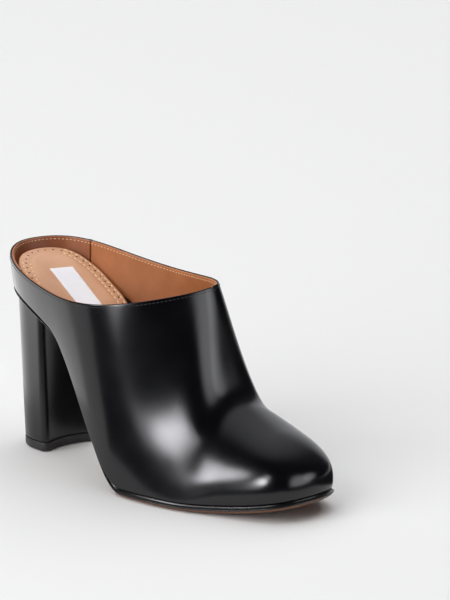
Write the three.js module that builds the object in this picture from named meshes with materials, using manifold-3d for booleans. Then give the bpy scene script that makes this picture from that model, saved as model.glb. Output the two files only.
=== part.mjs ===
// A high-heeled leather mule for the right foot, standing on its heel and the ball of its sole.
// Millimetres. +X runs to the toe, +Y to the inner side of the foot, +Z up.
import * as THREE from "three";
import Module from "manifold-3d";
import { mergeVertices } from "three/addons/utils/BufferGeometryUtils.js";

// Driving dimensions of the last, the form that the shoe is made on.
const LENGTH = 211; // sole line, back of the heel to tip of the toe, along the floor
const SEAT_HEIGHT = 92.5; // sole line above the floor at the back of the heel
const TREAD_HEIGHT = 4.3; // sole line above the floor under the ball of the foot
const TREAD_START = 110; // where the ball's flat stretch begins
const TREAD_END = 142; // where it ends and the toe spring begins
const TOE_HEIGHT = 13.2; // sole line above the floor at the tip of the toe
const ARCH_LIFT = 3.5; // extra height of the inner side under the arch
const TOE_LEAN = 26; // how far the top of the toe box lies behind its tip
const TOE_SWELL = 0.5; // how far the toe box stands out in front of the sole line
const HEEL_FLARE = 4.8; // how far the rim stands out behind the sole line, at its most
const SWELL_REACH = 16; // length over which both of these fade out

// Walls and clearances.
const GAP = 0.3; // clearance between pieces that touch
const UPPER_WALL = 2.2; // outer leather, stiffener and lining together
const SOLE_AT_BALL = 4; // thickness of the outsole under the ball
const SOLE_AT_SEAT = 2.6; // thickness of the outsole at the waist and over the heel
const SOLE_PROUD = 0.8; // how far the outsole stands out of the upper round the forepart
const SOLE_TUCK = 0.6; // how far it lies inside the upper at the waist and the seat
const INSOLE_AT_BACK = 14.2; // padded insole at the back of the heel
const INSOLE_AT_WAIST = 4.6; // insole under the arch
const INSOLE_AT_BALL = 4; // insole at the forepart
const INSOLE_EASE = 9.6; // extra room beside the insole in front of the heel
const INSOLE_REGAIN = 0.8; // share of that room given up again towards the toe
const INSOLE_BED = 0.12; // how far the insole lies above the sole line
const TOP_PIECE = 5; // thickness of the top piece, the wearing layer under the heel

// Sections of the last.
// at: station from the heel (0) to the toe (1), closer together at both ends.
// half: half width at the sole line. centre, ridge: sideways place of the middle of the sole
// line and of the ridge. top: height of the ridge. puff: how much the sides swell above the
// sole line, or draw in towards the ridge. outer, inner: height of the topline on the two
// sides; past the throat it is not used.
const SECTIONS = [
  { at: 0, half: 0, centre: 0, ridge: 0, top: 151.5, puff: 0.3, outer: 110.8, inner: 110.8 },
  { at: 0.15, half: 21.6, centre: 0.6, ridge: 0.4, top: 156, puff: 0.33, outer: 107.2, inner: 110.6 },
  { at: 0.3, half: 30.4, centre: -3.2, ridge: -1, top: 165, puff: 0.34, outer: 102.2, inner: 108.8 },
  { at: 0.4, half: 34, centre: -4.5, ridge: 0, top: 166, puff: 0.33, outer: 100.2, inner: 106.4 },
  { at: 0.5, half: 37.8, centre: -3.7, ridge: 3, top: 152, puff: 0.06, outer: 103.8, inner: 108.2 },
  { at: 0.6, half: 38.9, centre: -0.6, ridge: 8, top: 105, puff: -0.46, outer: 110.4, inner: 113.3 },
  { at: 0.65, half: 37.2, centre: 1.2, ridge: 7, top: 63, puff: -0.22, outer: 113.5, inner: 113.5 },
  { at: 0.7, half: 33.4, centre: 2.6, ridge: 6.2, top: 50, puff: 0.06, outer: 117, inner: 117 },
  { at: 0.8, half: 26.6, centre: 4.4, ridge: 5.8, top: 44, puff: 0.22, outer: 120, inner: 120 },
  { at: 0.9, half: 17.4, centre: 5.4, ridge: 5.8, top: 41.5, puff: 0.24, outer: 120, inner: 120 },
  { at: 1, half: 0, centre: 5.8, ridge: 5.8, top: 40.8, puff: 0.3, outer: 120, inner: 120 },
];

// Swells and hollows of the last's outer side and top.
// x, turn: where each is fullest, along the shoe and over the section. reach, spread: how far
// it fades along the shoe and over the section. height: how far it stands out.
const SWELLS = [
  { x: 136, turn: 0.35, reach: 51, spread: 0.24, height: -2.2 },
  { x: 130, turn: 0.33, reach: 20, spread: 0.28, height: -1.6 },
  { x: 128, turn: 1.08, reach: 34, spread: 0.38, height: 1.0 },
  { x: 70, turn: 0.51, reach: 29, spread: 0.49, height: -0.3 },
  { x: 137, turn: 1.55, reach: 25, spread: 0.28, height: -0.8 },
  { x: 176, turn: 0.55, reach: 20, spread: 0.42, height: -3.0 },
];

// The sole line from the side: height and slope at its turning points.
const SOLE_LINE = [
  { x: 0, z: SEAT_HEIGHT, slope: -0.08 },
  { x: 51, z: SEAT_HEIGHT - 11.8, slope: -0.42 },
  { x: TREAD_START, z: TREAD_HEIGHT, slope: 0 },
  { x: TREAD_END, z: TREAD_HEIGHT, slope: 0 },
  { x: LENGTH, z: TOE_HEIGHT, slope: 0.258 },
];

// The heel, level by level. z: height of the level. back, breast: where its back and the
// middle of its front corners lie along X. half: half width at the front. hollow: depth of the
// curve of the breast. middle: sideways place. splay: how much narrower it is at the back.
const HEEL_LEVELS = [
  { z: TOP_PIECE + GAP, back: 2.5, breast: 31.9, half: 17.5, hollow: 4.4, middle: 2.2, splay: 0.1 },
  { z: 45, back: 0.9, breast: 31.4, half: 18.8, hollow: 4.4, middle: 1.9, splay: 0.14 },
  { z: 70, back: 0.1, breast: 31.9, half: 20.2, hollow: 4.2, middle: 1.5, splay: 0.2 },
  { z: 84, back: -0.3, breast: 32.7, half: 21.4, hollow: 3.8, middle: 1.2, splay: 0.25 },
  { z: 94, back: -0.6, breast: 33.2, half: 22.2, hollow: 3.5, middle: 1, splay: 0.28 },
];
const HEEL_ROUND = 18; // length over which the back of the heel is rounded
const HEEL_CORNER = 3.5; // radius of the two front corners
const HEEL_SKEW = 2.6; // how far the inner front corner lies ahead of the middle

// Mesh density.
const OPEN_ROWS = 32; // rows of the upper from the back of the heel to the throat
const CLOSED_ROWS = 18; // rows of the upper from the throat to the tip of the toe
const WALL_COLUMNS = 8; // columns from the sole line to the topline or the ridge
const SOLE_COLUMNS = 8; // columns of the sole and the insole from side to side

const wasm = await Module();
wasm.setup();

// A curve through (xs, ys) with no jump in curvature. Its ends run level, or straight on.
function spline(xs, ys, level) {
  const last = xs.length - 1;
  const upper = [];
  const right = [];
  const slopes = [];
  for (let i = 0; i <= last; i++) {
    const before = i > 0 ? 1 / (xs[i] - xs[i - 1]) : 0;
    const after = i < last ? 1 / (xs[i + 1] - xs[i]) : 0;
    const rise = i > 0 ? 3 * (ys[i] - ys[i - 1]) * before ** 2 : 0;
    const next = i < last ? 3 * (ys[i + 1] - ys[i]) * after ** 2 : 0;
    const clamped = level && (i === 0 || i === last);
    const pivot = clamped ? 1 : 2 * (before + after) - before * (upper[i - 1] ?? 0);
    const carried = clamped ? 0 : rise + next - before * (right[i - 1] ?? 0);
    upper.push(clamped ? 0 : after / pivot);
    right.push(carried / pivot);
  }
  for (let i = last; i >= 0; i--) {
    slopes[i] = right[i] - upper[i] * (slopes[i + 1] ?? 0);
  }
  return hermite(xs, ys, slopes);
}

// A curve through (xs, ys) with the given slopes; past either end its last piece runs on.
function hermite(xs, ys, slopes) {
  return (x) => {
    let i = 0;
    while (i < xs.length - 2 && x > xs[i + 1]) i++;
    const span = xs[i + 1] - xs[i];
    const u = (x - xs[i]) / span;
    const start = (1 + 2 * u) * (1 - u) ** 2 * ys[i] + u * (1 - u) ** 2 * span * slopes[i];
    const end = u ** 2 * (3 - 2 * u) * ys[i + 1] - u ** 2 * (1 - u) * span * slopes[i + 1];
    return start + end;
  };
}

// One column of the section table as a curve of the station.
function column(name) {
  const stations = SECTIONS.map((row) => row.at);
  const values = SECTIONS.map((row) => row[name]);
  return spline(stations, values, name !== "half");
}

const half = column("half");
const centre = column("centre");
const ridge = column("ridge");
const top = column("top");
const puff = column("puff");
const outerRim = column("outer");
const innerRim = column("inner");
const soleLine = hermite(
  SOLE_LINE.map((row) => row.x),
  SOLE_LINE.map((row) => row.z),
  SOLE_LINE.map((row) => row.slope),
);

// A smooth step from 0 at x = from to 1 at x = to.
function ease(x, from, to) {
  return THREE.MathUtils.smoothstep(x, from, to);
}

// How far a station lies along the shoe.
function alongAt(at) {
  return (LENGTH * (1 - Math.cos(Math.PI * at))) / 2;
}

// Height of the sole line at x; inward is 0 on the outer side and 1 on the inner side.
function footHeight(x, inward) {
  const u = THREE.MathUtils.clamp(x / TREAD_START, 0, 1) ** 1.6;
  return soleLine(x) + ARCH_LIFT * inward * Math.sin(Math.PI * u) ** 2;
}

// How far the last stands out from its plain sections.
function swell(x, turn) {
  let total = 0;
  for (const row of SWELLS) {
    const along = (x - row.x) / row.reach;
    const over = (turn - row.turn) / row.spread;
    total += row.height * Math.exp(-(along ** 2) - over ** 2);
  }
  return total * Math.sin(turn);
}

// A point of the last's surface. turn runs over the section, from 0 at the outer sole line
// through a quarter turn at the ridge to a half turn at the inner sole line.
function lastPoint(at, turn) {
  const x = alongAt(at);
  const rise = Math.sin(turn);
  const side = Math.cos(turn);
  const foot = footHeight(x, (1 - side) / 2);
  const atToe = TOE_SWELL * Math.exp(-(((LENGTH - x) / SWELL_REACH) ** 2));
  const atHeel = HEEL_FLARE * Math.exp(-((x / SWELL_REACH) ** 2));
  const lean = TOE_LEAN * (x / LENGTH) ** 5 * rise ** 3;
  const out = swell(x, turn);
  const level = half(at) * (1 + puff(at) * rise) + out;
  return new THREE.Vector3(
    x - lean + 2 * (atToe - atHeel) * rise * side ** 2,
    centre(at) + (ridge(at) - centre(at)) * rise ** 2 - level * side,
    foot + (top(at) - foot + out) * rise,
  );
}

// The outward direction of the last's surface. Where the toe's rows meet at the end of the
// ridge the surface has no direction of its own, so that of a row just behind is taken.
function lastNormal(at, turn) {
  const step = 1e-4;
  const a = Math.abs(Math.cos(turn)) < 0.05 ? Math.min(at, 0.985) : at;
  const forward = lastPoint(a + step, turn).sub(lastPoint(a - step, turn));
  const over = lastPoint(a, turn + step).sub(lastPoint(a, turn - step));
  return forward.cross(over).normalize();
}

function rimHeight(at, turn) {
  const inward = (1 - Math.cos(turn)) / 2;
  return outerRim(at) * (1 - inward) + innerRim(at) * inward;
}

// The x at which a function that starts below zero reaches it.
function crossing(low, high, f) {
  for (let i = 0; i < 40; i++) {
    const middle = (low + high) / 2;
    if (f(middle) < 0) low = middle;
    else high = middle;
  }
  return (low + high) / 2;
}

const RIDGE = Math.PI / 2;
// The station where the topline crosses the ridge of the instep.
const THROAT = crossing(0.4, 0.8, (at) => rimHeight(at, RIDGE) - top(at));

// How far over the section the wall reaches, as a turn from its own sole line.
function wallReach(at, inner) {
  if (at >= THROAT) return RIDGE;
  return crossing(0, RIDGE, (reach) => {
    const turn = inner ? Math.PI - reach : reach;
    return lastPoint(at, turn).z - rimHeight(at, turn);
  });
}

// The stations of the mesh rows, closer together towards the throat and the toe.
const stations = [];
for (let i = 0; i <= OPEN_ROWS; i++) {
  stations.push(THROAT * (1 - (1 - i / OPEN_ROWS) ** 1.6));
}
for (let i = 1; i <= CLOSED_ROWS; i++) {
  stations.push(THROAT + ((1 - THROAT) * i) / CLOSED_ROWS);
}
const ends = stations.length - 1;

// Collects triangles by corner points.
class Faces {
  constructor() {
    this.corners = [];
  }
  triangle(a, b, c) {
    if (a.equals(b) || b.equals(c) || c.equals(a)) return;
    this.corners.push(a, b, c);
  }
  quad(a, b, c, d) {
    this.triangle(a, b, c);
    this.triangle(a, c, d);
  }
  geometry() {
    return new THREE.BufferGeometry().setFromPoints(this.corners);
  }
}

// A closed mesh as a solid for joining and cutting, and back.
function toSolid(geometry) {
  const merged = mergeVertices(geometry.clone(), 1e-4);
  const vertProperties = merged.attributes.position.array;
  const triVerts = new Uint32Array(merged.index.array);
  return new wasm.Manifold(new wasm.Mesh({ numProp: 3, vertProperties, triVerts }));
}

function toGeometry(solid) {
  const mesh = solid.getMesh();
  const geometry = new THREE.BufferGeometry();
  geometry.setAttribute("position", new THREE.BufferAttribute(mesh.vertProperties, 3));
  geometry.setIndex(new THREE.BufferAttribute(mesh.triVerts, 1));
  return geometry.toNonIndexed();
}

// The upper: the last's surface and a second one a wall's thickness inside it, joined by the
// topline and by the edge that stands on the sole.
function upperGeometry() {
  const grid = new Map();
  // The outer and inner points of a row and column; the rows at both ends and the ridge
  // belong to both sides, so they are worked out once.
  function wall(i, j, inner) {
    const closed = j === WALL_COLUMNS && i >= OPEN_ROWS;
    const own = inner && i > 0 && i < ends && !closed;
    const key = `${i} ${j} ${own}`;
    if (!grid.has(key)) {
      const at = stations[i];
      const reach = (wallReach(at, own) * j) / WALL_COLUMNS;
      const turn = own ? Math.PI - reach : reach;
      const normal = lastNormal(at, turn);
      if (j === 0) normal.setZ(0).normalize();
      const outside = lastPoint(at, turn);
      grid.set(key, { outside, inside: outside.clone().addScaledVector(normal, -UPPER_WALL) });
    }
    return grid.get(key);
  }
  const faces = new Faces();
  for (const inner of [false, true]) {
    const turned = (a, b, c, d) => (inner ? faces.quad(d, c, b, a) : faces.quad(a, b, c, d));
    for (let i = 0; i < ends; i++) {
      for (let j = 0; j < WALL_COLUMNS; j++) {
        const [a, b] = [wall(i, j, inner), wall(i + 1, j, inner)];
        const [c, d] = [wall(i + 1, j + 1, inner), wall(i, j + 1, inner)];
        turned(a.outside, b.outside, c.outside, d.outside);
        turned(d.inside, c.inside, b.inside, a.inside);
      }
      const [a, b] = [wall(i, 0, inner), wall(i + 1, 0, inner)];
      turned(a.inside, b.inside, b.outside, a.outside);
      if (i < OPEN_ROWS) {
        const [c, d] = [wall(i, WALL_COLUMNS, inner), wall(i + 1, WALL_COLUMNS, inner)];
        turned(c.outside, d.outside, d.inside, c.inside);
      }
    }
  }
  return faces.geometry();
}

// A sheet over the last's outline between two heights. inset(x) moves its edge inwards, and
// low and high give its two faces at x, with inward 0 on the outer side and 1 on the inner.
function sheetGeometry(inset, low, high) {
  function edge(at, inner) {
    const turn = inner ? Math.PI : 0;
    const point = lastPoint(at, turn);
    const outward = lastNormal(at, turn).setZ(0).normalize();
    return point.addScaledVector(outward, -inset(point.x));
  }
  const rows = [];
  for (const at of stations) {
    const tip = at === 0 || at === 1;
    const [outer, inner] = [edge(at, false), edge(at, !tip)];
    const [start, end] = [lastPoint(at, 0).y, lastPoint(at, Math.PI).y];
    const row = [];
    for (let j = 0; j <= SOLE_COLUMNS; j++) {
      const point = outer.clone().lerp(inner, j / SOLE_COLUMNS);
      const inward = tip ? 0.5 : THREE.MathUtils.clamp((point.y - start) / (end - start), 0, 1);
      row.push({
        under: point.clone().setZ(low(point.x, inward)),
        over: point.clone().setZ(high(point.x, inward)),
      });
    }
    rows.push(row);
  }
  const faces = new Faces();
  for (let i = 0; i < ends; i++) {
    for (let j = 0; j < SOLE_COLUMNS; j++) {
      const [a, b] = [rows[i][j], rows[i + 1][j]];
      const [c, d] = [rows[i + 1][j + 1], rows[i][j + 1]];
      faces.quad(a.over, b.over, c.over, d.over);
      faces.quad(d.under, c.under, b.under, a.under);
    }
    const [a, b] = [rows[i][0], rows[i + 1][0]];
    const [c, d] = [rows[i][SOLE_COLUMNS], rows[i + 1][SOLE_COLUMNS]];
    faces.quad(a.under, b.under, b.over, a.over);
    faces.quad(c.over, d.over, d.under, c.under);
  }
  return faces.geometry();
}

function soleThickness(x) {
  return THREE.MathUtils.lerp(SOLE_AT_SEAT, SOLE_AT_BALL, ease(x, 72, TREAD_START - 2));
}

function soleTop(x, inward) {
  return footHeight(x, inward) - GAP;
}

function soleUnderside(x, inward) {
  return soleTop(x, inward) - soleThickness(x);
}

function outsoleGeometry() {
  const inset = (x) => THREE.MathUtils.lerp(SOLE_TUCK, -SOLE_PROUD, ease(x, 80, 125));
  return sheetGeometry(inset, soleUnderside, soleTop);
}

function insoleGeometry() {
  const room = (x) => INSOLE_EASE * ease(x, 28, 80) * (1 - INSOLE_REGAIN * ease(x, 100, 170));
  const inset = (x) => UPPER_WALL + GAP + room(x);
  const thickness = (x) =>
    INSOLE_AT_BALL +
    (INSOLE_AT_WAIST - INSOLE_AT_BALL) * (1 - ease(x, 60, 135)) +
    (INSOLE_AT_BACK - INSOLE_AT_WAIST) * (1 - ease(x, 2, 56));
  const under = (x, inward) => footHeight(x, inward) + INSOLE_BED;
  const over = (x, inward) => footHeight(x, inward) + thickness(x);
  return sheetGeometry(inset, under, over);
}

// The heel's outline at one level, anticlockwise from above, starting at the outer front
// corner: across the hollow breast, then round the back.
function heelRing({ z, back, breast, half: reach, hollow, middle, splay }) {
  const ring = [];
  const push = (x, y) => {
    const behind = THREE.MathUtils.clamp((breast - x) / (breast - back), 0, 1);
    ring.push(new THREE.Vector3(x, middle + y * (1 - splay * behind), z));
  };
  const breastAt = (y) => breast - hollow * (1 - (y / reach) ** 2) + (HEEL_SKEW * y) / reach;
  const flat = reach - HEEL_CORNER;
  const breastSteps = 10;
  for (let k = 0; k <= breastSteps; k++) {
    const y = -flat + (2 * flat * k) / breastSteps;
    push(breastAt(y), y);
  }
  const cornerSteps = 3;
  const innerCorner = breastAt(flat) - HEEL_CORNER;
  for (let k = 1; k <= cornerSteps; k++) {
    const angle = (RIDGE * k) / cornerSteps;
    push(innerCorner + HEEL_CORNER * Math.cos(angle), flat + HEEL_CORNER * Math.sin(angle));
  }
  const backSteps = 18;
  for (let k = 0; k <= backSteps; k++) {
    const angle = RIDGE - (Math.PI * k) / backSteps;
    const x = back + HEEL_ROUND * (1 - Math.abs(Math.cos(angle)) ** 0.9);
    push(x, reach * Math.sin(angle));
  }
  const outerCorner = breastAt(-flat) - HEEL_CORNER;
  for (let k = 0; k < cornerSteps; k++) {
    const angle = (RIDGE * k) / cornerSteps;
    push(outerCorner + HEEL_CORNER * Math.sin(angle), -flat - HEEL_CORNER * Math.cos(angle));
  }
  return ring;
}

// A closed solid through rings of equal count, each anticlockwise from above, bottom first.
function loftGeometry(rings) {
  const faces = new Faces();
  for (let i = 0; i < rings.length - 1; i++) {
    const [lower, higher] = [rings[i], rings[i + 1]];
    lower.forEach((point, k) => {
      const next = (k + 1) % lower.length;
      faces.quad(point, lower[next], higher[next], higher[k]);
    });
  }
  for (const [ring, up] of [[rings[0], false], [rings.at(-1), true]]) {
    for (const [a, b, c] of THREE.ShapeUtils.triangulateShape(ring, [])) {
      if (up) faces.triangle(ring[a], ring[b], ring[c]);
      else faces.triangle(ring[c], ring[b], ring[a]);
    }
  }
  return faces.geometry();
}

// The heel: its levels lofted, and cut away where the sole lies on it.
function heelGeometry() {
  const block = toSolid(loftGeometry(HEEL_LEVELS.map(heelRing)));
  const clear = (x, inward) => soleUnderside(x, inward) - GAP;
  const above = () => 2 * SEAT_HEIGHT;
  const cutter = toSolid(sheetGeometry(() => -8, clear, above));
  return toGeometry(block.subtract(cutter));
}

function topPieceGeometry() {
  const level = HEEL_LEVELS[0];
  const heights = [0, TOP_PIECE];
  return loftGeometry(heights.map((z) => heelRing({ ...level, z })));
}

const blackCalf = { color: 0x121214, roughness: 0.28, metalness: 0 };
const tanLeather = { color: 0xc48a5e, roughness: 0.55, metalness: 0 };
const inkedLeather = { color: 0x1b1310, roughness: 0.3, metalness: 0 };
const blackRubber = { color: 0x19191b, roughness: 0.6, metalness: 0 };

const shoe = new THREE.Group();
const pieces = [
  ["upper", upperGeometry(), blackCalf],
  ["insole", insoleGeometry(), tanLeather],
  ["outsole", outsoleGeometry(), inkedLeather],
  ["heel", heelGeometry(), blackCalf],
  ["top_piece", topPieceGeometry(), blackRubber],
];
for (const [name, geometry, finish] of pieces) {
  geometry.computeVertexNormals();
  const piece = new THREE.Mesh(geometry, new THREE.MeshStandardMaterial(finish));
  piece.name = name;
  shoe.add(piece);
}

// The part's origin is on the floor under the middle of its box.
const middle = new THREE.Box3().setFromObject(shoe).getCenter(new THREE.Vector3());
shoe.position.set(-middle.x, -middle.y, 0);
const group = new THREE.Group();
group.add(shoe);
export default group;
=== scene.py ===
"""A high-heeled leather mule for the right foot: its leathers, stitching, sole, heel and studio."""

import math

import bmesh
import bpy
import numpy as np
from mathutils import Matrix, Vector


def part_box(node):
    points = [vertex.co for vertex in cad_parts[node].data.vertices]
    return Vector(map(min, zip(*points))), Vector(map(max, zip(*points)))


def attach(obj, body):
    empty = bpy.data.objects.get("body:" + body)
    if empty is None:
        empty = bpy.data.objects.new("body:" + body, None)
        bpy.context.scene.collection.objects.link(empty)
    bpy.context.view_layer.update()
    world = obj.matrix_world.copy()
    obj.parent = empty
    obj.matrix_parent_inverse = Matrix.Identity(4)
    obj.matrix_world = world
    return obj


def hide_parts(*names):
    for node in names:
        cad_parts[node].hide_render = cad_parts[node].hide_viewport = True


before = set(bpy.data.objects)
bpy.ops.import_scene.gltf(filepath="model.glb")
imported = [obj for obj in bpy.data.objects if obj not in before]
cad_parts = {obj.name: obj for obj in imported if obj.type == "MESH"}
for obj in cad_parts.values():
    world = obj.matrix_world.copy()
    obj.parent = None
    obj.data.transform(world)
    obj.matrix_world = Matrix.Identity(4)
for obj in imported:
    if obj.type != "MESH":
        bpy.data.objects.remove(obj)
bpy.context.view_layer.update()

# ------------------------ the last
# Lengths are in millimetres in the last's own frame, with +X to the toe, +Y to the inner side
# of the foot and the heel's back at x = 0, until a finished mesh is placed in the row frame.
MM = 0.001
LENGTH = 211.0  # sole line, back of the heel to tip of the toe, along the floor
SEAT_HEIGHT = 92.5  # sole line above the floor at the back of the heel
TREAD_HEIGHT = 4.3  # sole line above the floor under the ball of the foot
TREAD_START = 110.0  # where the ball's flat stretch begins
TREAD_END = 142.0  # where it ends and the toe spring begins
TOE_HEIGHT = 13.2  # sole line above the floor at the tip of the toe
ARCH_LIFT = 3.5  # extra height of the inner side under the arch
TOE_LEAN = 26.0  # how far the top of the toe box lies behind its tip
TOE_SWELL = 0.5  # how far the toe box stands out in front of the sole line
HEEL_FLARE = 4.8  # how far the rim stands out behind the sole line
SWELL_REACH = 16.0  # length over which both of these fade out
GAP = 0.3  # clearance between pieces that touch
WALL = 2.2  # outer leather, stiffener and lining together
TOP_PIECE = 5.0  # thickness of the wearing layer under the heel

RIDGE = math.pi / 2  # turn over a section at which both sides meet on the ridge
OUTER, INNER = 0, 1

STEP = 1e-4  # small step of station or turn, for directions
RIDGE_END = 0.985  # station up to which the ridge has a steady direction
AT_THROAT = 1e-7  # stations this close to the throat count as lying there
HALVINGS = 44  # rounds of narrowing down where a function crosses zero

# Sections of the last: station from the heel (0) to the toe (1); half width; middle of the sole
# line; place of the ridge; height of the ridge; puff of the sides; outer and inner topline.
SECTIONS = np.array([
    [0, 0, 0, 0, 151.5, 0.3, 110.8, 110.8],
    [0.15, 21.6, 0.6, 0.4, 156, 0.33, 107.2, 110.6],
    [0.3, 30.4, -3.2, -1, 165, 0.34, 102.2, 108.8],
    [0.4, 34, -4.5, 0, 166, 0.33, 100.2, 106.4],
    [0.5, 37.8, -3.7, 3, 152, 0.06, 103.8, 108.2],
    [0.6, 38.9, -0.6, 8, 105, -0.46, 110.4, 113.3],
    [0.65, 37.2, 1.2, 7, 63, -0.22, 113.5, 113.5],
    [0.7, 33.4, 2.6, 6.2, 50, 0.06, 117, 117],
    [0.8, 26.6, 4.4, 5.8, 44, 0.22, 120, 120],
    [0.9, 17.4, 5.4, 5.8, 41.5, 0.24, 120, 120],
    [1, 0, 5.8, 5.8, 40.8, 0.3, 120, 120],
])

# The sole line from the side: x; height; slope.
SOLE_LINE = np.array([
    [0, SEAT_HEIGHT, -0.08],
    [51, SEAT_HEIGHT - 11.8, -0.42],
    [TREAD_START, TREAD_HEIGHT, 0],
    [TREAD_END, TREAD_HEIGHT, 0],
    [LENGTH, TOE_HEIGHT, 0.258],
])

# Swells and hollows of the outer side and the top: x where each is fullest; turn over the
# section there; how far it fades along the shoe; how far over the section; height.
SWELLS = np.array([
    [136, 0.35, 51, 0.24, -2.2],
    [130, 0.33, 20, 0.28, -1.6],
    [128, 1.08, 34, 0.38, 1.0],
    [70, 0.51, 29, 0.49, -0.3],
    [137, 1.55, 25, 0.28, -0.8],
    [176, 0.55, 20, 0.42, -3.0],
])


def hermite(xs, ys, slopes):
    """A smooth curve through (xs, ys) with the given slopes."""
    def curve(x):
        x = np.asarray(x, float)
        i = np.clip(np.searchsorted(xs, x) - 1, 0, len(xs) - 2)
        span = xs[i + 1] - xs[i]
        u = (x - xs[i]) / span
        start = (1 + 2 * u) * (1 - u) ** 2 * ys[i] + u * (1 - u) ** 2 * span * slopes[i]
        end = u**2 * (3 - 2 * u) * ys[i + 1] - u**2 * (1 - u) * span * slopes[i + 1]
        return start + end

    return curve


def spline(xs, ys, level=True):
    """A curve through (xs, ys) with no jump in curvature, whose ends run level or straight on."""
    count = len(xs)
    step, slope = np.diff(xs), np.diff(ys) / np.diff(xs)
    matrix, right = np.zeros((count, count)), np.zeros(count)
    for i in range(count):
        if level and i in (0, count - 1):
            matrix[i, i] = 1
            continue
        for j, other in ((i - 1, i - 1), (i, i + 1)):
            if 0 <= other < count:
                matrix[i, i] += 2 / step[j]
                matrix[i, other] += 1 / step[j]
                right[i] += 3 * slope[j] / step[j]
    return hermite(xs, ys, np.linalg.solve(matrix, right))


half, centre, ridge, top, puff, outer_rim, inner_rim = (
    spline(SECTIONS[:, 0], SECTIONS[:, k], level=k != 1) for k in range(1, 8)
)
sole_line = hermite(*SOLE_LINE.T)


def ease(x, start, end):
    """A smooth step from 0 at start to 1 at end."""
    u = np.clip((np.asarray(x, float) - start) / (end - start), 0, 1)
    return u * u * (3 - 2 * u)


def mix(a, b, share):
    """The value that lies that share of the way from a to b."""
    return a + (b - a) * share


def stack(x, y, z):
    """Points from their three coordinates."""
    return np.stack(np.broadcast_arrays(x, y, z), -1)


def unit(v):
    """Directions of length 1."""
    return v / np.maximum(np.linalg.norm(v, axis=-1, keepdims=True), 1e-12)


def along(at):
    """How far along the shoe a station lies; stations crowd together at both ends."""
    return LENGTH * (1 - np.cos(np.pi * at)) / 2


def station(x):
    """The station that lies x along the shoe."""
    return np.arccos(1 - 2 * x / LENGTH) / np.pi


def foot_height(x, inward):
    """Height of the sole line at x; inward is 0 on the outer side and 1 on the inner side."""
    arch = np.clip(x / TREAD_START, 0, 1) ** 1.6
    return sole_line(x) + ARCH_LIFT * inward * np.sin(np.pi * arch) ** 2


def swell(x, turn):
    """How far the last stands out from its plain sections."""
    total = 0.0
    for middle, over, reach, spread, height in SWELLS:
        ahead, beside = (x - middle) / reach, (turn - over) / spread
        total = total + height * np.exp(-(ahead**2) - beside**2)
    return total * np.sin(turn)


def last_point(at, turn):
    """The last's surface: at runs from heel to toe, turn over the section from the outer side."""
    x = along(at)
    rise, side = np.sin(turn), np.cos(turn)
    foot = foot_height(x, (1 - side) / 2)
    at_toe = TOE_SWELL * np.exp(-(((LENGTH - x) / SWELL_REACH) ** 2))
    at_heel = HEEL_FLARE * np.exp(-((x / SWELL_REACH) ** 2))
    lean = TOE_LEAN * (x / LENGTH) ** 5 * rise**3
    out = swell(x, turn)
    return stack(
        x - lean + 2 * (at_toe - at_heel) * rise * side**2,
        centre(at) + (ridge(at) - centre(at)) * rise**2
        - half(at) * side * (1 + puff(at) * rise) - out * side,
        foot + (top(at) - foot) * rise + out * rise,
    )


def last_normal(at, turn):
    """The outward direction of the last's surface; on the ridge the very tip has none."""
    on_ridge = np.abs(np.cos(turn)) < 0.05
    at = np.where(on_ridge, np.minimum(at, RIDGE_END), at)
    forward = last_point(at + STEP, turn) - last_point(at - STEP, turn)
    over = last_point(at, turn + STEP) - last_point(at, turn - STEP)
    return unit(np.cross(forward, over))


def rim_height(at, turn):
    """Height of the topline over a station, on the side that the turn faces."""
    return mix(outer_rim(at), inner_rim(at), (1 - np.cos(turn)) / 2)


def crossing(low, high, rising):
    """Where a function that starts below zero reaches it, for whole arrays at once."""
    low, high = np.asarray(low, float), np.asarray(high, float)
    for _ in range(HALVINGS):
        middle = (low + high) / 2
        below = rising(middle) < 0
        low, high = np.where(below, middle, low), np.where(below, high, middle)
    return (low + high) / 2


def throat(drop):
    """The station where the topline, lowered by drop, crosses the ridge of the instep."""
    return float(crossing(0.4, 0.8, lambda at: rim_height(at, RIDGE) - drop - top(at)))


def side_turn(reach, side):
    """The turn that lies reach above the sole line of a side."""
    return reach if side == OUTER else np.pi - reach


def outline(at, side, inset):
    """The sole line's outline from above, moved inwards by inset."""
    turn = np.full_like(at, 0.0 if side == OUTER else np.pi)
    outward = unit(last_normal(at, turn) * [1, 1, 0])
    return last_point(at, turn) - np.asarray(inset)[..., None] * outward


def wall_reach(at, side, drop):
    """How far over the section the wall goes before the topline, lowered by drop, ends it."""
    def above(reach):
        turn = side_turn(reach, side)
        return last_point(at, turn)[..., 2] - rim_height(at, turn) + drop

    found = crossing(0, RIDGE, above)
    return np.where(at >= throat(drop), RIDGE, found)


def foot_reach(at, side, lift):
    """The turn at which the wall stands lift above its own sole line."""
    foot = foot_height(along(at), 0 if side == OUTER else 1)

    def above(reach):
        return last_point(at, side_turn(reach, side))[..., 2] - foot - lift

    return crossing(0, RIDGE, above)


# ------------------------ meshes
MERGE = 0.004  # points closer than this become one
SOLE_PROUD = 0.8  # how far the outsole stands out of the upper round the forepart
PACKED_TUCK = 0.6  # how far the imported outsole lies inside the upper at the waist
SOLE_STANDS_OUT = 80, 125  # from and to where along the shoe it comes to do so


def frame_shift():
    """From the last's own frame to the row frame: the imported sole's toe and sides show it."""
    low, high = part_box("outsole")
    at = np.linspace(0.3, 0.95, 400)
    proud = mix(-PACKED_TUCK, SOLE_PROUD, ease(along(at), *SOLE_STANDS_OUT))
    sides = [outline(at, side, -proud)[:, 1] for side in (OUTER, INNER)]
    middle = (sides[0].min() + sides[1].max()) / 2
    return np.array([
        high.x / MM - LENGTH - SOLE_PROUD,
        (low.y + high.y) / 2 / MM - middle,
        0.0,
    ])


SHIFT = frame_shift()


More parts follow.
